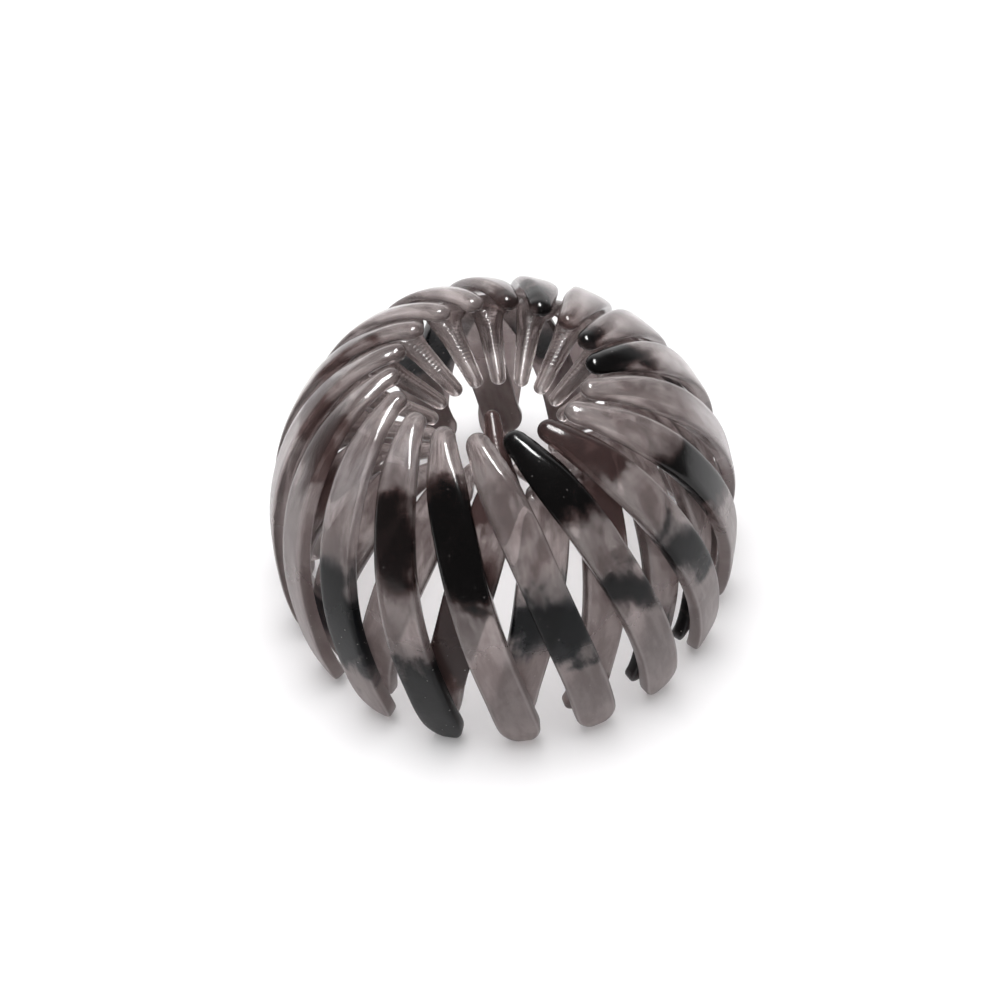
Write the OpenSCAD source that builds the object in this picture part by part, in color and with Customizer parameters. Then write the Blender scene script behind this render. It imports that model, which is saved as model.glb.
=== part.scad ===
// A bird nest hair clip: a springy ball of curved slats with a hole at the top.
// An outer ring of slats leans one way and an inner ring leans the other way.
// The slats are pinned where they cross, and each inner slat ends in a finger
// that turns in under the hole and slopes down towards the axis of the ball.

/* [Ball] */
// Diameter over the outer slats
ball_d = 80; // [76:1:90]
// Gap between two pieces that lie on each other
gap = 0.3; // [0.25:0.05:0.4]

/* [Slats] */
// Width of a slat at the waist of the ball
slat_w = 7.2; // [6.4:0.1:7.4]
// Thickness of an outer slat
outer_t = 2.6; // [2.4:0.1:2.8]
// Thickness of an inner slat
inner_t = 2.4; // [2.2:0.1:2.6]

/* [Fingers] */
// Distance of a finger's end from the axis of the ball
finger_end = 10.2; // [9.8:0.2:12]
// Slope of a finger below level, in degrees
finger_slope = 29; // [24:1:34]
// Width of a finger at its root
finger_w = 4.2; // [3.8:0.1:4.4]

/* [Pins] */
// Diameter of a pin
pin_d = 2.2; // [2:0.1:2.3]

/* [Hidden] */
// Slats in each ring
slat_count = 18;
// Facets of a pin and of its socket
pin_facets = 32;
// Thickness of the skin that hides a pin, over the middle of the outer slat
pin_roof = 0.3;

ball_r = ball_d / 2;
pitch = 360 / slat_count;
half_pitch = pitch / 2;
// Depths of the two rings' middle surfaces under the ball's surface
outer_depth = outer_t / 2;
inner_depth = outer_t + gap + inner_t / 2;
inner_r = ball_r - inner_depth;
// The inner slat whose finger isn't bent down, and that finger's slope
upright_slat = 18;
upright_slope = -23;
// Widest step between two sections, in degrees from the top
section_step = 7.6;

// The sections of an outer slat, from its tip at the hole to its foot.
// The swing is the turn about the axis, in half pitches, against the foot pin.
// Depth, width and thickness are in mm; depth is beyond the ring's own depth.
// Columns: angle from the top, swing, depth, width, thickness
outer_rows = [
    [25.0, 3.16, 2.5, 1.6, 1.2],
    [25.8, 3.11, 2.3, 3.2, 2.2],
    [28.2, 2.95, 1.9, 4.2, outer_t + 0.4],
    [32.0, 2.58, 1.2, 5.2, outer_t + 0.4],
    [40.0, 2.00, 0.4, 0.95 * slat_w, outer_t + 0.2],
    [52.0, 1.42, 0.0, slat_w, outer_t],
    [65.0, 1.00, 0.0, 0.98 * slat_w, outer_t],
    [80.0, 0.59, 0.0, slat_w, outer_t],
    [95.0, 0.22, -0.1, slat_w, outer_t],
    [106.0, 0.00, -0.7, slat_w, outer_t],
    [112.0, -0.12, -1.1, 0.98 * slat_w, outer_t],
    [115.6, -0.19, -1.3, 0.84 * slat_w, 0.9 * outer_t],
    [117.0, -0.22, -1.3, 0.50 * slat_w, 0.5 * outer_t]
];

// Where an inner slat turns into its finger, as distances from the axis and
// above the middle of the ball. The bend rounds off the corner between them.
function meridian(top, r) = r * [sin(top), cos(top)];
function heading(slope) = -[cos(slope), sin(slope)];
bend_top = 45;
bend_sink = 0.4;
bend_start = meridian(bend_top, inner_r - bend_sink);
bend_corner = meridian(bend_top - 4, inner_r - 0.3);
bend_length = 3;
finger_length = (bend_corner[0] - finger_end) / cos(finger_slope);

// A section past the start of the bend. The bend takes u from 0 to 1 and the
// straight finger takes it from 1 to 2.
function finger_row(u, slope, swing, width, thick) =
    let (bend_end = bend_corner + bend_length * heading(slope),
         tip = bend_corner + finger_length * heading(slope),
         b = min(u, 1),
         bent = (1 - b) * (1 - b) * bend_start + 2 * b * (1 - b) * bend_corner + b * b * bend_end,
         ahead = (1 - b) * (bend_corner - bend_start) + b * (bend_end - bend_corner),
         p = bent + (u - b) * (tip - bend_end),
         top = atan2(p[0], p[1]))
    [top, swing, inner_r - norm(p), width, thick, top - atan2(ahead[1], -ahead[0])];

// The sections of an inner slat, from its foot to the end of its finger.
// The bend turns a section's face from outward to upward along the finger.
// Columns: angle from the top, swing, depth, width, thickness, bend
function inner_rows(slope) = [
    [113.8, -0.17, -0.9, 0.42 * slat_w, 0.5 * inner_t, 0],
    [112.6, -0.15, -1.0, 0.74 * slat_w, 0.9 * inner_t, 0],
    [110.0, -0.08, -0.9, 0.92 * slat_w, inner_t, 0],
    [106.0, 0.00, -0.7, 0.96 * slat_w, inner_t, 0],
    [95.0, 0.22, -0.1, 0.98 * slat_w, inner_t, 0],
    [80.0, 0.59, 0.0, 1.04 * slat_w, inner_t, 0],
    [65.0, 1.00, 0.0, 1.12 * slat_w, inner_t, 0],
    [52.0, 1.42, 0.1, 1.10 * slat_w, inner_t, 0],
    [bend_top, 1.75, bend_sink, 1.06 * slat_w, inner_t, 0],
    finger_row(0.25, slope, 1.87, 1.04 * slat_w, inner_t),
    finger_row(0.50, slope, 1.99, slat_w, inner_t),
    finger_row(0.75, slope, 2.08, 0.92 * slat_w, inner_t),
    finger_row(1.00, slope, 2.12, 0.75 * slat_w, inner_t),
    finger_row(1.20, slope, 2.07, finger_w, inner_t),
    finger_row(1.50, slope, 1.95, 0.86 * finger_w, inner_t),
    finger_row(1.80, slope, 1.77, 0.68 * finger_w, 0.96 * inner_t),
    finger_row(1.95, slope, 1.64, 0.55 * finger_w, 0.8 * inner_t),
    finger_row(2.00, slope, 1.59, 0.28 * finger_w, 0.45 * inner_t)
];

// Where the rings are pinned. Columns: angle from the top, swing
pin_rows = [
    [43.0, 2],
    [65.0, 1],
    [106.0, 0]
];

// A section has eight corners: round where it is as thick as it is wide, and
// squarer the flatter it is
function corner(width, thick) = 0.71 + 0.17 * min(1, max(0, (width / thick - 1) / 1.4));
function outline(width, thick) =
    let (c = corner(width, thick), w = width / 2, t = thick / 2)
    [[w, 0], [c * w, c * t], [0, t], [-c * w, c * t], [-w, 0], [-c * w, -c * t], [0, -t], [c * w, -c * t]];

// Unit vectors at an angle from the top and a turn from the front
function outward(top, turn) = [sin(top) * sin(turn), -sin(top) * cos(turn), cos(top)];
function downward(top, turn) = [cos(top) * sin(turn), -cos(top) * cos(turn), -sin(top)];
function unit(v) = v / norm(v);

// A smooth curve through the rows of a table
function row(rows, i) = rows[min(len(rows) - 1, max(0, i))];
function along(rows, s) =
    let (i = min(floor(s), len(rows) - 2), f = s - i,
         a = row(rows, i - 1), b = row(rows, i), c = row(rows, i + 1), d = row(rows, i + 2))
    b + 0.5 * f * (c - a + f * (2 * a - 5 * b + 4 * c - d + f * (3 * (b - c) + d - a)));
function stations(rows) = [
    for (i = [0:len(rows) - 2])
        let (n = ceil(abs(rows[i + 1][0] - rows[i][0]) / section_step))
        for (j = [0:n - 1]) i + j / n,
    len(rows) - 1
];

// The middle line of a slat; lean is -1 for the outer ring and 1 for the inner
function centre(r, depth, lean) =
    (ball_r - depth - r[2]) * outward(r[0], lean * half_pitch * r[1]);
function section(rows, s, depth, lean) =
    let (r = along(rows, s), turn = lean * half_pitch * r[1], bend = len(r) > 5 ? r[5] : 0,
         last = len(rows) - 1,
         before = centre(along(rows, max(0, s - 0.05)), depth, lean),
         after = centre(along(rows, min(last, s + 0.05)), depth, lean),
         ahead = unit(after - before),
         face = cos(bend) * outward(r[0], turn) - sin(bend) * downward(r[0], turn),
         side = unit(cross(ahead, face)), up = cross(side, ahead))
    [for (p = outline(r[3], r[4])) centre(r, depth, lean) + p[0] * side + p[1] * up];
function slat_points(rows, depth, lean) =
    [for (s = stations(rows)) each section(rows, s, depth, lean)];

outer_points = slat_points(outer_rows, outer_depth, -1);
inner_points = slat_points(inner_rows(finger_slope), inner_depth, 1);
upright_points = slat_points(inner_rows(upright_slope), inner_depth, 1);
// Height of the ball's middle when the clip stands on the outer slats' feet
ball_z = -min([for (p = outer_points) p[2]]);

// Distance of an outer slat's middle line from the middle of the ball
outer_sink = [for (r = outer_rows) [r[0], r[2]]];
function outer_reach(top) = ball_r - outer_depth - lookup(top, outer_sink);

function numbered(name, i) = str(name, i < 10 ? "0" : "", i);

module swept(points) {
    corners = len(outline(1, 1));
    rings = len(points) / corners;
    last = (rings - 1) * corners;
    polyhedron(points, [
        [for (k = [corners - 1:-1:0]) k],
        [for (k = [0:corners - 1]) last + k],
        for (i = [0:rings - 2], k = [0:corners - 1])
            let (a = i * corners + k, b = i * corners + (k + 1) % corners)
            each [[a, b, b + corners], [a, b + corners, a + corners]]
    ]);
}

// A round post or socket that points away from the middle of the ball. It runs
// from a depth under the outer slat's middle line to a height over it.
module radial(pin, lean, r, depth, height) {
    rotate([0, pin[0], lean * half_pitch * pin[1] - 90])
        translate([0, 0, outer_reach(pin[0]) - depth])
            cylinder(r = r, h = depth + height, $fn = pin_facets);
}

module placed(i) {
    translate([0, 0, ball_z]) rotate([0, 0, (i - 1) * pitch]) children();
}

module outer_slat(i) {
    color("#6e6263") placed(i) difference() {
        swept(outer_points);
        for (pin = pin_rows) radial(pin, -1, pin_d / 2 + gap, 2 * outer_t, pin_roof);
    }
}

module inner_slat(i) {
    color("#5c5051") placed(i) union() {
        swept(i == upright_slat ? upright_points : inner_points);
        for (pin = pin_rows) radial(pin, 1, pin_d / 2, outer_t + gap, pin_roof - gap);
    }
}

for (i = [1:slat_count]) {
    outer_slat(i);
    inner_slat(i);
}
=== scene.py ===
import math

import bpy
from mathutils import Matrix, Vector


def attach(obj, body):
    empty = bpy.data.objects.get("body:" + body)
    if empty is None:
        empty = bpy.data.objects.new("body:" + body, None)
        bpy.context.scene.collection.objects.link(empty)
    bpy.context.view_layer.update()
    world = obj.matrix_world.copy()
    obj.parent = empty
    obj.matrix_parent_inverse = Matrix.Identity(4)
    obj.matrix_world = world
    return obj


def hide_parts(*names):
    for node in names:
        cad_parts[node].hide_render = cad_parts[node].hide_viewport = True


# The clip stands on its feet at the origin, with the axis of the ball upright.
# Number 01 of each ring has its foot at the front, and the numbers run round
# to the right, one slat every 20 degrees.
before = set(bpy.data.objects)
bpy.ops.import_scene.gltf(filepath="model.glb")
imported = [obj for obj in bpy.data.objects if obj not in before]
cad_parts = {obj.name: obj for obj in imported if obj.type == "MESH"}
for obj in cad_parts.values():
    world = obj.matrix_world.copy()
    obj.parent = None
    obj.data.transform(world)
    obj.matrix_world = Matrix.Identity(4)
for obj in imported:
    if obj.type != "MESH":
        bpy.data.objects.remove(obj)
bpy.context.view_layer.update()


# The outer slats are moulded from smoky, half clear plastic. Each is a curved
# bar, round like a finger at its tip by the hole and flat with crisp edges
# lower down, and the clip stands on their wide round feet.
MM = 0.001
SLATS = 18
PITCH = math.radians(360 / SLATS)
BALL_R = 40 * MM
OUTER_T = 2.6 * MM
OUTER_DEPTH = OUTER_T / 2
# Columns: angle from the top in degrees, swing in half pitches, depth, width
# and thickness in mm, squareness of the section, shift of its crest in half
# widths, which is to the right of the slat where it is less than 0
OUTER_ROWS = [
    (24.9, 3.17, 2.5, 4.1, 2.9, 2.0, 0.0),
    (28.2, 2.95, 1.9, 4.3, 3.0, 1.8, -0.05),
    (32.0, 2.58, 1.2, 5.2, 3.0, 1.55, -0.2),
    (40.0, 2.00, 0.4, 6.8, 2.8, 1.6, -0.45),
    (52.0, 1.42, 0.0, 7.2, 2.6, 3.0, -0.35),
    (65.0, 1.00, 0.0, 7.1, 2.6, 5.0, 0.0),
    (80.0, 0.59, 0.0, 7.2, 2.6, 5.5, 0.0),
    (95.0, 0.22, -0.1, 7.2, 2.6, 5.5, 0.0),
    (106.0, 0.00, -0.7, 7.2, 2.6, 5.5, 0.0),
    (112.0, -0.12, -1.1, 7.1, 2.6, 5.0, 0.0),
    (117.6, -0.23, -1.3, 6.9, 2.6, 4.0, 0.0),
]


def along(rows, s):
    """The row at place s of a table, on a smooth curve through its rows."""
    i = min(int(s), len(rows) - 2)
    f = s - i
    last = len(rows) - 1
    before, this, after, beyond = (rows[min(last, max(0, k))] for k in (i - 1, i, i + 1, i + 2))
    return [
        b + 0.5 * f * (c - a + f * (2 * a - 5 * b + 4 * c - d + f * (3 * (b - c) + d - a)))
        for a, b, c, d in zip(before, this, after, beyond)
    ]


def on_ball(top, turn):
    """The unit vector at an angle from the top and a turn from the front."""
    return Vector((math.sin(top) * math.sin(turn), -math.sin(top) * math.cos(turn), math.cos(top)))


def middle_line(rows, s, depth, lean):
    """A point of a slat's middle line; lean is -1 in the outer ring and 1 in the inner."""
    row = along(rows, s)
    return (BALL_R - depth - row[2] * MM) * on_ball(math.radians(row[0]), lean * PITCH / 2 * row[1])


def rounded(distance, radius):
    """Share of the full size at a distance from a rounded end."""
    return math.sqrt(1 - max(0, 1 - distance / radius) ** 2)


STATION_STEP = 0.5 * MM
RIB_STATION_STEP = 0.12 * MM
END_STATIONS = 8
STEPS_PER_ROW = 60
# How far to each side of a section, in rows, the slat's heading is measured
HEADING_SPAN = 0.05


def slat_path(name, rows, depth, lean, ends, fine_length):
    """A mesh of points along a slat, which carry its sections as attributes.
    Each of the two ends is the radii that round its width and its thickness. The
    points lie closer in the last stretch, of fine_length, where ribs need them."""
    places = [k / STEPS_PER_ROW for k in range((len(rows) - 1) * STEPS_PER_ROW + 1)]
    points = [middle_line(rows, s, depth, lean) for s in places]
    reach = [0.0]
    for a, b in zip(points, points[1:]):
        reach.append(reach[-1] + (b - a).length)
    total = reach[-1]

    def place_at(distance):
        """The place in the table of the point at a distance along the slat."""
        k = max(1, next(k for k, r in enumerate(reach) if r >= distance - 1e-9))
        share = (distance - reach[k - 1]) / (reach[k] - reach[k - 1])
        return places[k - 1] + share * (places[k] - places[k - 1])

    turns = [math.radians(90 * k / END_STATIONS) for k in range(END_STATIONS)]
    cap = [1 - math.cos(t) for t in turns]
    stations = [ends[0][0] * c for c in cap]
    while stations[-1] < total - ends[1][0] - STATION_STEP:
        ribbed = stations[-1] > total - fine_length
        stations.append(stations[-1] + (RIB_STATION_STEP if ribbed else STATION_STEP))
    stations += [total - ends[1][0] * c for c in reversed(cap)]

    mesh = bpy.data.meshes.new(name)
    values = {"width": [], "thick": [], "square": [], "crest": [], "reach": [], "angle": []}
    vectors = {"side": [], "up": []}
    middle = []
    for distance in stations:
        s = place_at(min(distance, total))
        top, swing, _, width, thick, square, crest, *bend = along(rows, s)
        beyond = middle_line(rows, min(s + HEADING_SPAN, len(rows) - 1), depth, lean)
        ahead = (beyond - middle_line(rows, max(s - HEADING_SPAN, 0), depth, lean)).normalized()
        turn = lean * PITCH / 2 * swing
        bend = math.radians(bend[0]) if bend else 0
        face = on_ball(math.radians(top), turn) * math.cos(bend)
        face -= on_ball(math.radians(top + 90), turn) * math.sin(bend)
        side = ahead.cross(face).normalized()
        start, end = distance, total - distance
        middle.append(middle_line(rows, s, depth, lean))
        values["width"].append(width * MM * rounded(start, ends[0][0]) * rounded(end, ends[1][0]))
        values["thick"].append(thick * MM * rounded(start, ends[0][1]) * rounded(end, ends[1][1]))
        values["square"].append(square)
        values["crest"].append(crest)
        values["reach"].append(total - distance)
        values["angle"].append(top)
        vectors["side"].append(side)
        vectors["up"].append(side.cross(ahead))
    mesh.from_pydata(middle, [(k, k + 1) for k in range(len(middle) - 1)], [])
    for key, column in values.items():
        mesh.attributes.new(key, "FLOAT", "POINT").data.foreach_set("value", column)
    for key, column in vectors.items():
        flat = [x for v in column for x in v]
        mesh.attributes.new(key, "FLOAT_VECTOR", "POINT").data.foreach_set("vector", flat)
    return mesh


class Wire:
    """A socket's output in a node tree. Arithmetic on wires adds Math nodes."""

    def __init__(self, tree, socket):
        self.tree, self.socket = tree, socket

    def node(self, kind, settings=None, values=None, out=0):
        """Adds a node of a kind, sets it up, then fills or joins its sockets."""
        made = self.tree.nodes.new(kind)
        for key, setting in (settings or {}).items():
            setattr(made, key, setting)
        for key, value in (values or {}).items():
            if isinstance(value, Wire):
                self.tree.links.new(value.socket, made.inputs[key])
            else:
                made.inputs[key].default_value = value
        return Wire(self.tree, made.outputs[out])

    def maths(self, operation, *values):
        """A Math node's result for some values, of which one may be the wire itself."""
        return self.node("ShaderNodeMath", {"operation": operation}, dict(enumerate(values)))

    def vector(self, operation, values, out=0):
        """A Vector Math node's result for the values of its sockets."""
        return self.node("ShaderNodeVectorMath", {"operation": operation}, values, out)

    def mix(self, share, a, b):
        """The colour a, or b where share is 1."""
        return self.node("ShaderNodeMix", {"data_type": "RGBA"}, {0: share, 6: a, 7: b}, 2)

    def step(self, low, high):
        """A smooth step from 0 to 1 as the value goes from low to high."""
        settings = {"interpolation_type": "SMOOTHSTEP"}
        return self.node("ShaderNodeMapRange", settings, {0: self, 1: low, 2: high, 3: 0.0, 4: 1.0})

    def __add__(self, other):
        return self.maths("ADD", self, other)

    def __radd__(self, other):
        return self.maths("ADD", other, self)

    def __sub__(self, other):
        return self.maths("SUBTRACT", self, other)

    def __rsub__(self, other):
        return self.maths("SUBTRACT", other, self)

    def __mul__(self, other):
        return self.maths("MULTIPLY", self, other)

    def __rmul__(self, other):
        return self.maths("MULTIPLY", other, self)

    def __truediv__(self, other):
        return self.maths("DIVIDE", self, other)

    def __rtruediv__(self, other):
        return self.maths("DIVIDE", other, self)


def slat_tree():
    """Geometry Nodes that wrap a rounded section round a slat's path, then turn
    the slat to its place in the ring and lift it onto its feet."""
    tree = bpy.data.node_groups.new("moulded slat", "GeometryNodeTree")
    sockets = tree.interface
    sockets.new_socket("Path", in_out="INPUT", socket_type="NodeSocketGeometry")
    for name in ("Sides", "Turn", "Lift", "Rib Pitch", "Rib Height", "Rib Start", "Rib End"):
        kind = "NodeSocketInt" if name == "Sides" else "NodeSocketFloat"
        sockets.new_socket(name, in_out="INPUT", socket_type=kind)
    for name in ("Stain A", "Stain B", "Painted Sheen"):
        sockets.new_socket(name, in_out="INPUT", socket_type="NodeSocketVector")
    sockets.new_socket("Plastic", in_out="INPUT", socket_type="NodeSocketMaterial")
    sockets.new_socket("Slat", in_out="OUTPUT", socket_type="NodeSocketGeometry")

    entry = tree.nodes.new("NodeGroupInput")
    given = {socket.name: Wire(tree, socket) for socket in entry.outputs if socket.name}
    path = given["Path"]
    settings = {"component": "MESH"}
    count = path.node("GeometryNodeAttributeDomainSize", settings, {"Geometry": path}, "Point Count")
    around = given["Sides"] + 1
    skin = path.node("GeometryNodeMeshGrid", {}, {"Vertices X": count, "Vertices Y": around})
    index = path.node("GeometryNodeInputIndex")
    ring = index.maths("FLOOR", (index + 0.5) / around)
    # The grid's last column lies on its first one, and the two are merged below
    column = index - ring * around
    angle = column.maths("MODULO", column, given["Sides"]) * (2 * math.pi) / given["Sides"]

    def at_ring(value, kind):
        """A value of the path's points, read at the point that this ring goes round."""
        return path.node(
            "GeometryNodeSampleIndex",
            {"data_type": kind, "domain": "POINT"},
            {"Geometry": path, "Value": value, "Index": ring},
        )

    def sampled(name, kind="FLOAT"):
        """One of the path's attributes at this ring."""
        value = path.node("GeometryNodeInputNamedAttribute", {"data_type": kind}, {"Name": name})
        return at_ring(value, kind)

    def signed_power(value, power):
        """The value's size to a power, with the value's sign."""
        return value.maths("SIGN", value) * value.maths("POWER", value.maths("ABSOLUTE", value), power)

    # Across and lift run from -1 to 1 over the section's width and thickness
    power = 2 / sampled("square")
    across = signed_power(angle.maths("COSINE", angle), power)
    lift = signed_power(angle.maths("SINE", angle), power)
    # Fine ribs cross the outer face of a finger and fade out towards its edges
    reach = sampled("reach")
    wave = reach.maths("SINE", reach / given["Rib Pitch"] * (2 * math.pi))
    past_start = reach.maths("GREATER_THAN", reach, given["Rib Start"])
    before_end = reach.maths("LESS_THAN", reach, given["Rib End"])
    rib = given["Rib Height"] * past_start * before_end * wave.maths("MAXIMUM", wave, 0.0)
    ridge = 1 - across.maths("ABSOLUTE", across) * 1.6
    rib = rib * lift.maths("GREATER_THAN", lift, 0.2) * ridge.maths("MAXIMUM", ridge, 0.0)
    # The crest moves to one side, and the section's edges stay where they are
    moved = sampled("crest") * lift.maths("MAXIMUM", lift, 0.0) * (1 - across * across)
    place = at_ring(path.node("GeometryNodeInputPosition"), "FLOAT_VECTOR")
    shifts = {
        "side": (across + moved) * sampled("width") / 2,
        "up": lift * sampled("thick") / 2 + rib,
    }
    for direction, length in shifts.items():
        shift = path.vector("SCALE", {0: sampled(direction, "FLOAT_VECTOR"), 3: length})
        place = path.vector("ADD", {0: place, 1: shift})
    round_section = angle.maths("SINE", angle)
    on_slat = path.node("ShaderNodeCombineXYZ", {}, {0: sampled("angle"), 1: across, 2: round_section})

    def stored(geometry, name, value):
        """The geometry with a vector attribute added to its points."""
        return path.node(
            "GeometryNodeStoreNamedAttribute",
            {"data_type": "FLOAT_VECTOR", "domain": "POINT"},
            {"Geometry": geometry, "Name": name, "Value": value},
        )

    # The place on the slat is stored while the grid's index still tells it
    skin = stored(skin, "on_slat", on_slat)
    skin = stored(skin, "stain_a", given["Stain A"])
    skin = stored(skin, "stain_b", given["Stain B"])
    skin = stored(skin, "painted_sheen", given["Painted Sheen"])
    skin = path.node("GeometryNodeSetPosition", {}, {"Geometry": skin, "Position": place})
    skin = path.node("GeometryNodeMergeByDistance", {}, {"Geometry": skin, "Distance": 1e-6})
    turn = path.node("ShaderNodeCombineXYZ", {}, {2: given["Turn"]})
    raised = path.node("ShaderNodeCombineXYZ", {}, {2: given["Lift"]})
    values = {"Geometry": skin, "Translation": raised, "Rotation": turn}
    skin = path.node("GeometryNodeTransform", {}, values)
    skin = path.node("GeometryNodeSetShadeSmooth", {}, {"Geometry": skin})
    skin = path.node("GeometryNodeRealizeInstances", {}, {"Geometry": skin})
    skin = path.node("GeometryNodeSetMaterial", {}, {"Geometry": skin, "Material": given["Plastic"]})
    tree.links.new(skin.socket, tree.nodes.new("NodeGroupOutput").inputs["Slat"])
    return tree


def moulded(name, path, inputs):
    """A slat as a plain mesh, made by the tree from a path and its inputs."""
    maker = bpy.data.objects.new(name + "_maker", path)
    bpy.context.scene.collection.objects.link(maker)
    modifier = maker.modifiers.new("slat", "NODES")
    modifier.node_group = tree_of_slat
    for item in tree_of_slat.interface.items_tree:
        if item.in_out == "INPUT" and item.name in inputs:
            modifier[item.identifier] = inputs[item.name]
    graph = bpy.context.evaluated_depsgraph_get()
    made = maker.evaluated_get(graph)
    mesh = bpy.data.meshes.new_from_object(made, preserve_all_data_layers=True, depsgraph=graph)
    bpy.data.objects.remove(maker)
    mesh.name = name
    piece = bpy.data.objects.new(name, mesh)
    bpy.context.scene.collection.objects.link(piece)
    return piece


# Brown of the painted shade on the flanks and round the tips
PAINTED_SHADE_BROWN = (0.070, 0.046, 0.044, 1)
VEIN = (0.46, 0.41, 0.40, 1)
GRAIN = (0.10, 0.075, 0.075, 1)
# Colour of the painted sheen in the paler places
PAINTED_SHEEN = (0.74, 0.70, 0.71, 1)
# Colour of the painted highlights along the edges
PAINTED_EDGE_HIGHLIGHT = (0.66, 0.61, 0.60, 1)
BUBBLE = (0.62, 0.58, 0.57, 1)
# A black or a blue stain has a core that is darker than its rim. A brown stain
# has the rim of a black one, and its core is a little paler.
BLACK_RIM = (0.090, 0.052, 0.048, 1)
BLUE_RIM = (0.060, 0.062, 0.066, 1)
BLACK_CORE = (0.003, 0.002, 0.002, 1)
BLUE_CORE = (0.004, 0.005, 0.006, 1)
BROWN_CORE = (0.110, 0.068, 0.064, 1)


def smoky_plastic(name, light, dark, rim, shade, shine):
    """Glossy, cloudy plastic between two greys, with stains along a slat. Painted shade makes it
    darker at the tip, before the angles of rim, and lower down, past the angles of shade. Paler
    places carry a painted sheen, and the edges painted highlights."""
    material = bpy.data.materials.new(name)
    material.use_nodes = True
    tree = material.node_tree
    tree.nodes.clear()
    shader = tree.nodes.new("ShaderNodeBsdfPrincipled")
    tree.links.new(shader.outputs[0], tree.nodes.new("ShaderNodeOutputMaterial").inputs["Surface"])
    start = Wire(tree, shader.outputs[0])
    place = start.vector("SCALE", {0: start.node("ShaderNodeTexCoord", {}, {}, "Object"), 3: 1 / MM})

    def noise(scale, detail, distortion):
        """Cloudy noise through the plastic, with its scale per mm."""
        values = {
            "Vector": place,
            "Scale": scale,
            "Detail": detail,
            "Roughness": 0.55,
            "Distortion": distortion,
        }
        return start.node("ShaderNodeTexNoise", {}, values)

    def parts(attribute):
        """The three numbers of a vector attribute."""
        vector = start.node("ShaderNodeAttribute", {"attribute_name": attribute}, {}, "Vector")
        split = start.node("ShaderNodeSeparateXYZ", {}, {0: vector}).socket.node
        return [Wire(tree, split.outputs[k]) for k in range(3)]

    def within(value, first, last):
        """How far a value lies inside the stretch from first to last."""
        return value.maths("MINIMUM", value - first, last - value)

    # Clouds, and streaks that run along the slat as the plastic flowed
    angle, across, height = parts("on_slat")
    cloud = noise(0.10, 5.0, 1.4)
    frayed = noise(0.13, 1.0, 0.8)
    fine = noise(1.4, 1.5, 0.3)
    flow = start.node("ShaderNodeCombineXYZ", {}, {0: angle * 0.05, 1: across * 1.3, 2: 0.0})
    flow = start.vector("ADD", {0: flow, 1: start.vector("SCALE", {0: place, 3: 0.03})})
    values = {"Vector": flow, "Scale": 2.2, "Detail": 3.0, "Roughness": 0.5}
    streaks = start.node("ShaderNodeTexNoise", {}, values)
    smoke = (cloud * 0.55 + streaks * 0.45).step(0.41, 0.60)
    colour = start.mix(smoke, (*dark, 1), (*light, 1))
    veins = noise(0.16, 3.0, 2.6) - 0.5
    veins = 1 - veins.maths("ABSOLUTE", veins).step(0.0, 0.05)
    colour = start.mix(veins * 0.22, colour, VEIN)
    colour = start.mix(fine.step(0.55, 0.75) * 0.16, colour, GRAIN)

    # Paler places of painted sheen, then painted shade at the tip, lower down and on the flanks
    first, last, side = parts("painted_sheen")
    inside = within(angle, first, last) + (frayed - 0.5) * 16
    painted_sheen = inside.step(-2.0, 9.0) * (across * side + 0.7 + (streaks - 0.5) * 2.0).step(0.2, 1.1)
    colour = start.mix(painted_sheen * 0.6, colour, PAINTED_SHEEN)
    # Painted shade, darker lower down
    colour = start.mix(angle.step(*shade) * 0.6, colour, (*dark, 1))
    # Painted shade on the flanks
    painted_flank_shade = 1 - height.step(0.30, 0.62)
    colour = start.mix(painted_flank_shade * 0.55, colour, PAINTED_SHADE_BROWN)
    # Painted shade round the tip's end
    colour = start.mix(0.6 - 0.6 * angle.step(*rim), colour, PAINTED_SHADE_BROWN)

    # Painted highlights along the edges, weaker on the round tips
    edge = height.step(0.52, 0.66) * (1 - height.step(0.72, 0.86)) * (0.3 + 0.7 * angle.step(44.0, 60.0))
    colour = start.mix(edge * 0.45, colour, PAINTED_EDGE_HIGHLIGHT)

    # The gloss fades towards the feet
    coat = shine * (1 - 0.76 * angle.step(58.0, 85.0))

    # The stains' outlines waver. A blue or a brown stain is less glossy
    warped = angle + (frayed - 0.5) * 22 + (streaks - 0.5) * 8 + (fine - 0.5) * 3 + across * 2
    for attribute in ("stain_a", "stain_b"):
        first, last, tone = parts(attribute)
        inside = within(warped, first, last) + 1.5 - across * across * 2
        rim_colour = start.mix(tone, BLACK_RIM, BLUE_RIM)
        core_colour = start.mix(0 - tone, start.mix(tone, BLACK_CORE, BLUE_CORE), BROWN_CORE)
        colour = start.mix(inside.step(-3.5, 2.5), colour, rim_colour)
        colour = start.mix(inside.step(-1.0, 5.0), colour, core_colour)
        coat = coat * (1 - inside.step(-0.5, 4.0) * tone.maths("ABSOLUTE", tone) * 0.7)

    # Small bubbles, and a surface that is duller below the waist of the ball
    values = {"Vector": place, "Scale": 0.55, "Randomness": 1.0}
    bubbles = 1 - start.node("ShaderNodeTexVoronoi", {}, values, "Distance").step(0.05, 0.09)
    colour = start.mix(bubbles * 0.5, colour, BUBBLE)
    values = {"Strength": 0.25, "Distance": 0.1 * MM, "Height": fine + bubbles * 2}
    bump = start.node("ShaderNodeBump", {}, values)
    roughness = cloud * 0.2 + 0.08 + 0.15 * angle.step(66.0, 92.0)
    finish = {"Base Color": colour, "Roughness": roughness, "Coat Weight": coat, "Normal": bump}
    for key, value in finish.items():
        tree.links.new(value.socket, shader.inputs[key])
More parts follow.
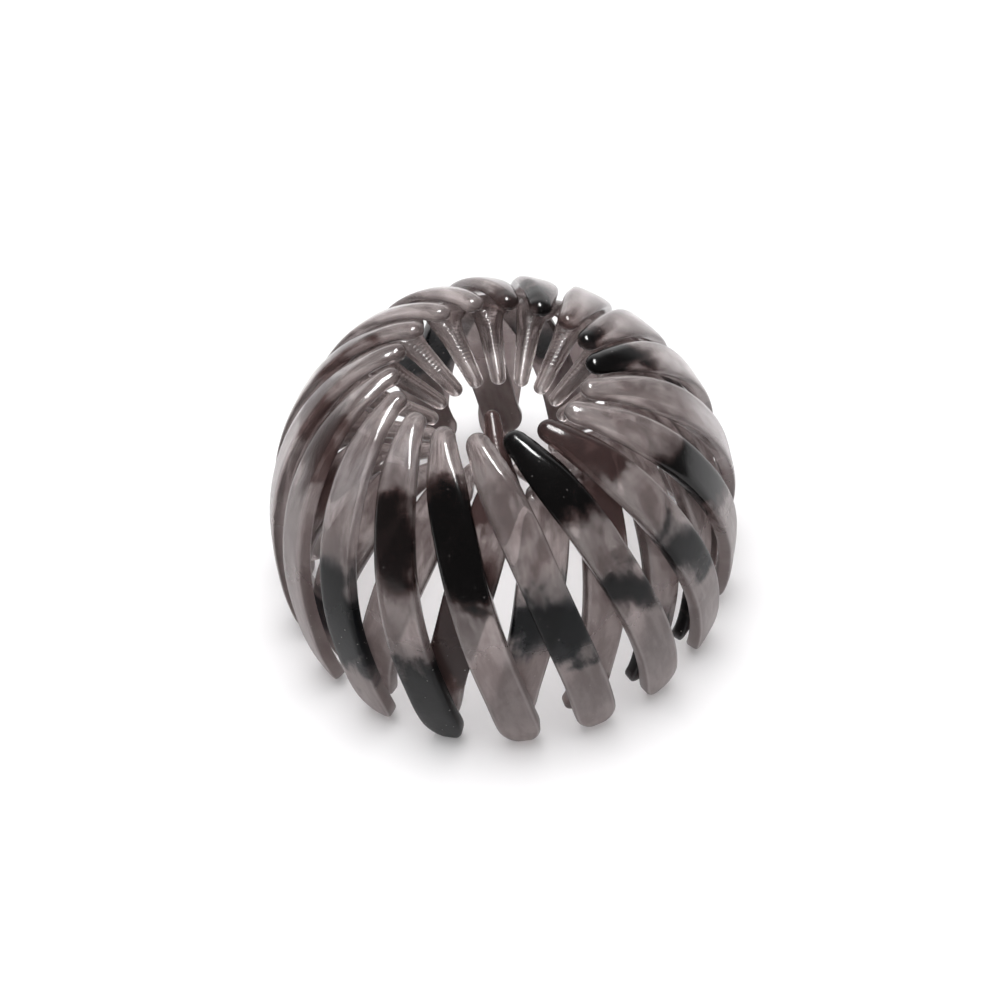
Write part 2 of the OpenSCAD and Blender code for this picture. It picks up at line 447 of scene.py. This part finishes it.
    # The coat gives most of the highlights, and the plastic under it reflects little
    shader.inputs["Transmission Weight"].default_value = 0.75
    shader.inputs["IOR"].default_value = 1.49
    shader.inputs["Specular IOR Level"].default_value = 0.0
    shader.inputs["Specular Tint"].default_value = (0.35, 0.35, 0.35, 1)
    shader.inputs["Coat Roughness"].default_value = 0.12
    shader.inputs["Coat IOR"].default_value = 1.5
    return material


# Dark stains of the outer slats, as the photo shows them; hidden slats have
# like ones. Columns: slat, first and last angle from the top, tone, which is
# -1 for brown, 0 for black and 1 for blue
OUTER_STAINS = [
    (1, 41, 67, 0.0),
    (2, 66, 84, 0.9),
    (3, 20, 51, 0.1),
    (3, 66, 77, 0.6),
    (4, 23, 44, -0.8),
    (4, 65, 81, 0.7),
    (5, 52, 74, 0.1),
    (7, 20, 41, 0.1),
    (7, 88, 100, 0.9),
    (8, 20, 33, 0.0),
    (9, 20, 29, -0.6),
    (10, 20, 37, 0.1),
    (11, 20, 31, -0.3),
    (11, 70, 92, 0.8),
    (12, 48, 66, -0.7),
    (13, 84, 104, 0.9),
    (14, 38, 50, -0.9),
    (15, 46, 54, -0.9),
    (16, 44, 56, -0.8),
    (17, 71, 98, 0.8),
    (18, 47, 66, -0.1),
    (18, 86, 120, 0.5),
]
# Paler places of painted sheen. Columns: slat, first and last angle from the top, and the
# edge that is paler, which is 1 for the left one, -1 for the right one, 0 for none
OUTER_PAINTED_SHEEN = [
    (6, 52, 84, 0),
    (7, 44, 60, 0),
    (8, 36, 72, -1),
    (9, 38, 70, 0),
    (10, 36, 60, 0),
    (12, 34, 62, 1),
    (13, 34, 70, 1),
    (14, 34, 64, 1),
    (15, 66, 94, 1),
    (17, 36, 60, 0),
    (18, 28, 44, 0),
]

SIDES = 32
# The radii that round an end's width and its thickness, at the tip and the foot
OUTER_ENDS = ((2.2 * MM, 1.6 * MM), (6.4 * MM, 1.5 * MM))
tree_of_slat = slat_tree()
outer_plastic = smoky_plastic(
    "smoky plastic of the outer slats",
    light=(0.640, 0.568, 0.556),
    dark=(0.310, 0.252, 0.247),
    # The painted shade round the tip ends at the first angles, and lower down it starts at the second
    rim=(25.2, 26.8),
    shade=(56.0, 96.0),
    shine=0.42,
)
outer_path = slat_path("outer slat path", OUTER_ROWS, OUTER_DEPTH, -1, OUTER_ENDS, 0)


def marks_of(number, table):
    """The slat's first two marks in a table; one that it lacks lies past its ends."""
    found = [(first, last, float(kind)) for slat, first, last, kind in table if slat == number]
    return (found + [(400.0, 401.0, 0.0)] * 2)[:2]


def ring_of(ring, paths, plastic, stains, sheen_marks, lift, ribs):
    """One ring of slats, each a piece of its own that stands for its solid."""
    for number, path in enumerate(paths, 1):
        node = f"{ring}_{number:02d}"
        stain_a, stain_b = marks_of(number, stains)
        # Where this slat has its painted sheen
        painted_sheen, _ = marks_of(number, sheen_marks)
        inputs = {
            "Sides": SIDES,
            "Turn": (number - 1) * PITCH,
            "Lift": lift,
            "Stain A": stain_a,
            "Stain B": stain_b,
            "Painted Sheen": painted_sheen,
            "Plastic": plastic,
            **ribs,
        }
        piece = moulded(node + "_moulding", path, inputs)
        # Clear plastic lets light through, so only the outer ring throws a shadow
        throws_shadow = ring == "outer_slat"
        piece.visible_shadow = throws_shadow
        piece.visible_diffuse = throws_shadow
        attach(piece, "root")
        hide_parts(node)


# Height of the ball's middle when the feet stand on the table
BALL_Z = 18.69 * MM
NO_RIBS = {"Rib Pitch": 1.0, "Rib Height": 0.0, "Rib Start": 0.0, "Rib End": 0.0}
ring_of("outer_slat", [outer_path] * SLATS, outer_plastic, OUTER_STAINS, OUTER_PAINTED_SHEEN, BALL_Z, NO_RIBS)


# The inner slats lie under the outer ones and lean the other way. Each ends in
# a round finger that turns in under the hole and slopes down towards the axis,
# with fine ribs on it that keep the hair from slipping. One isn't bent down.
GAP = 0.3 * MM
INNER_T = 2.4 * MM
INNER_DEPTH = OUTER_T + GAP + INNER_T / 2
INNER_R = (BALL_R - INNER_DEPTH) / MM


def meridian(top, reach):
    """A point's distances from the axis and above the ball's middle."""
    return Vector((math.sin(math.radians(top)), math.cos(math.radians(top)))) * reach


# Where the bend into the finger starts, and the corner that it rounds off
BEND_TOP = 45
BEND_SINK = 0.4
BEND_START = meridian(BEND_TOP, INNER_R - BEND_SINK)
CORNER_TOP = BEND_TOP - 4
CORNER_SINK = 0.3
BEND_CORNER = meridian(CORNER_TOP, INNER_R - CORNER_SINK)
BEND_LENGTH = 3
FINGER_SLOPE = math.radians(29)
FINGER_END = 10.2
FINGER_LENGTH = (BEND_CORNER.x - FINGER_END) / math.cos(FINGER_SLOPE)


def finger_row(u, slope, swing, width, thick, square):
    """A section past the start of the bend, which takes u from 0 to 1; the
    straight finger takes it from 1 to 2."""
    heading = -Vector((math.cos(slope), math.sin(slope)))
    bend_end = BEND_CORNER + BEND_LENGTH * heading
    tip = BEND_CORNER + FINGER_LENGTH * heading
    b = min(u, 1)
    bent = (1 - b) ** 2 * BEND_START + 2 * b * (1 - b) * BEND_CORNER + b * b * bend_end
    ahead = (1 - b) * (BEND_CORNER - BEND_START) + b * (bend_end - BEND_CORNER)
    point = bent + (u - b) * (tip - bend_end)
    top = math.degrees(math.atan2(point.x, point.y))
    bend = top - math.degrees(math.atan2(ahead.y, -ahead.x))
    return (top, swing, INNER_R - point.length, width, thick, square, 0, bend)


def inner_rows(slope):
    """The columns of the outer table, then the bend towards the finger in degrees."""
    return [
        (114.0, -0.25, -0.9, 6.8, 2.4, 4.0, 0, 0),
        (110.0, -0.12, -0.9, 6.9, 2.4, 5.0, 0, 0),
        (106.0, 0.00, -0.7, 6.9, 2.4, 5.5, 0, 0),
        (95.0, 0.22, -0.1, 7.1, 2.4, 5.5, 0, 0),
        (80.0, 0.59, 0.0, 7.5, 2.4, 5.0, 0, 0),
        (65.0, 1.00, 0.0, 8.1, 2.4, 4.0, 0, 0),
        (52.0, 1.42, 0.1, 7.9, 2.4, 3.2, 0, 0),
        (BEND_TOP, 1.75, BEND_SINK, 7.6, 2.4, 2.8, 0, 0),
        finger_row(0.25, slope, 1.87, 7.5, 2.4, 2.6),
        finger_row(0.50, slope, 1.99, 7.2, 2.4, 2.5),
        finger_row(0.75, slope, 2.08, 6.5, 2.4, 2.4),
        finger_row(1.00, slope, 2.12, 5.2, 2.4, 2.2),
        finger_row(1.20, slope, 2.07, 4.2, 2.4, 1.8),
        finger_row(1.50, slope, 1.95, 3.6, 2.4, 1.8),
        finger_row(1.80, slope, 1.77, 2.9, 2.3, 1.9),
        finger_row(2.00, slope, 1.59, 2.5, 2.1, 2.0),
    ]


# Dark stains of the inner slats, in the columns of the outer ones' table
INNER_STAINS = [
    (1, 68, 83, 0.9),
    (2, 44, 62, -0.6),
    (2, 104, 120, -0.6),
    (3, 92, 120, 0.1),
    (4, 92, 120, 0.2),
    (6, 58, 80, 0.3),
    (8, 52, 66, -0.6),
    (9, 70, 90, 0.3),
    (11, 66, 84, 0.9),
    (13, 90, 108, 0.1),
    (15, 54, 66, -1.0),
    (16, 84, 104, 0.8),
    (18, 0, 48, -0.9),
    (18, 58, 100, -0.3),
]
# The rounding of the ends, at the foot and at the finger's end
INNER_ENDS = ((3.0 * MM, 1.2 * MM), (1.25 * MM, 1.05 * MM))
# The ribs start and end at distances from the finger's end
RIBS = {"Rib Pitch": 0.72 * MM, "Rib Height": 0.09 * MM, "Rib Start": 4.6 * MM, "Rib End": 13.0 * MM}
FINE_LENGTH = 14 * MM
UPRIGHT = 18
UPRIGHT_SLOPE = math.radians(-23)
inner_plastic = smoky_plastic(
    "smoky plastic of the inner slats",
    light=(0.610, 0.538, 0.526),
    dark=(0.220, 0.174, 0.169),
    # The painted shade round the finger's end ends at the first angles, and lower down it starts at the
    # second
    rim=(26.9, 28.6),
    shade=(56.0, 80.0),
    shine=0.24,
)
bent_rows = inner_rows(FINGER_SLOPE)
upright_rows = inner_rows(UPRIGHT_SLOPE)
inner_path = slat_path("inner slat path", bent_rows, INNER_DEPTH, 1, INNER_ENDS, FINE_LENGTH)
upright_path = slat_path("upright slat path", upright_rows, INNER_DEPTH, 1, INNER_ENDS, FINE_LENGTH)
inner_paths = [upright_path if number == UPRIGHT else inner_path for number in range(1, SLATS + 1)]
ring_of("inner_slat", inner_paths, inner_plastic, INNER_STAINS, [], BALL_Z, RIBS)


# The clip stands on a plain white table. Two soft lamps hang right above it in
# a white room: one makes the highlights, the other one the shadow.
FLOOR_SIZE = 1.5
half = FLOOR_SIZE / 2
floor_corners = [(-half, -half, 0), (half, -half, 0), (half, half, 0), (-half, half, 0)]
floor_mesh = bpy.data.meshes.new("floor")
floor_mesh.from_pydata(floor_corners, [], [(0, 1, 2, 3)])
floor = bpy.data.objects.new("floor", floor_mesh)
bpy.context.scene.collection.objects.link(floor)
paper = bpy.data.materials.new("white paper")
paper.use_nodes = True
paper_shader = paper.node_tree.nodes["Principled BSDF"]
paper_shader.inputs["Base Color"].default_value = (0.86, 0.85, 0.86, 1)
paper_shader.inputs["Roughness"].default_value = 0.7
paper_shader.inputs["Emission Color"].default_value = (1, 1, 1, 1)
paper_shader.inputs["Emission Strength"].default_value = 0.11
floor_mesh.materials.append(paper)


def soft_lamp(name, place, target, width, length, watts):
    """A wide oval light that faces a target."""
    data = bpy.data.lights.new(name, "AREA")
    data.shape = "ELLIPSE"
    data.size = width
    data.size_y = length
    data.energy = watts
    light = bpy.data.objects.new(name, data)
    light.location = place
    light.rotation_euler = (Vector(target) - Vector(place)).to_track_quat("-Z", "Y").to_euler()
    light.visible_camera = False
    bpy.context.scene.collection.objects.link(light)
    return light


CLIP_MIDDLE = (0, 0, 0.025)
overhead = soft_lamp("overhead lamp", (0.0, 0.02, 0.62), CLIP_MIDDLE, width=0.20, length=0.40, watts=9.0)
overhead.visible_diffuse = False
overhead.visible_transmission = False
ceiling = soft_lamp("ceiling lamp", (0.0, 0.05, 1.0), CLIP_MIDDLE, width=0.9, length=0.9, watts=8.5)
ceiling.visible_glossy = False

# Mirrored in the plastic, the room is bright far behind the clip and dim
# elsewhere. It lights the table and the plastic with about half its strength.
room = bpy.data.worlds.new("white room")
room.use_nodes = True
backdrop = room.node_tree.nodes["Background"]
backdrop.inputs["Color"].default_value = (1, 1, 1, 1)
start = Wire(room.node_tree, backdrop.outputs[0])
direction = start.node("ShaderNodeTexCoord", {}, {}, "Object")
behind = start.node("ShaderNodeSeparateXYZ", {}, {0: direction}, "Y")
DIM_SHEEN = 0.15
SHEEN_RISE = 1.2
ROOM_DIMMING = 0.48
sheen = DIM_SHEEN + SHEEN_RISE * behind.step(0.3, 1.0)
mirrored = start.node("ShaderNodeLightPath", {}, {}, "Is Glossy Ray")
spread = start.node("ShaderNodeLightPath", {}, {}, "Is Diffuse Ray")
strength = 1 + mirrored * (sheen - 1) - spread * ROOM_DIMMING
room.node_tree.links.new(strength.socket, backdrop.inputs["Strength"])
bpy.context.scene.world = room
bpy.context.scene.view_settings.view_transform = "Standard"
bpy.context.scene.view_settings.look = "None"

# The camera stands in front of the clip and looks down on it at 46 degrees,
# turned and tilted a little. Its place and its lens are fitted to the photo.
VIEW_DOWN = math.radians(45.81)
VIEW_TURN = math.radians(1.1)
VIEW_TILT = math.radians(-4.43)
VIEW_DISTANCE = 0.5303
FOCAL_PIXELS = 3096.1
IMAGE_PIXELS = 1000
VIEW_TARGET = Vector((-0.0005, 0, 0.0207))
ahead = Vector((0, math.cos(VIEW_DOWN), -math.sin(VIEW_DOWN)))
right = Vector((1, 0, 0))
above = right.cross(ahead)
tilted_right = math.cos(VIEW_TILT) * right + math.sin(VIEW_TILT) * above
tilted_above = math.cos(VIEW_TILT) * above - math.sin(VIEW_TILT) * right
aim = Matrix((tilted_right, tilted_above, -ahead)).transposed().to_4x4()
aim.translation = VIEW_TARGET - VIEW_DISTANCE * ahead
lens = bpy.data.cameras.new("photo camera")
lens.sensor_width = 36.0
lens.lens = FOCAL_PIXELS / IMAGE_PIXELS * lens.sensor_width
lens.clip_start = 0.01
camera = bpy.data.objects.new("photo camera", lens)
camera.matrix_world = Matrix.Rotation(VIEW_TURN, 4, "Z") @ aim
bpy.context.scene.collection.objects.link(camera)
bpy.context.scene.camera = camera
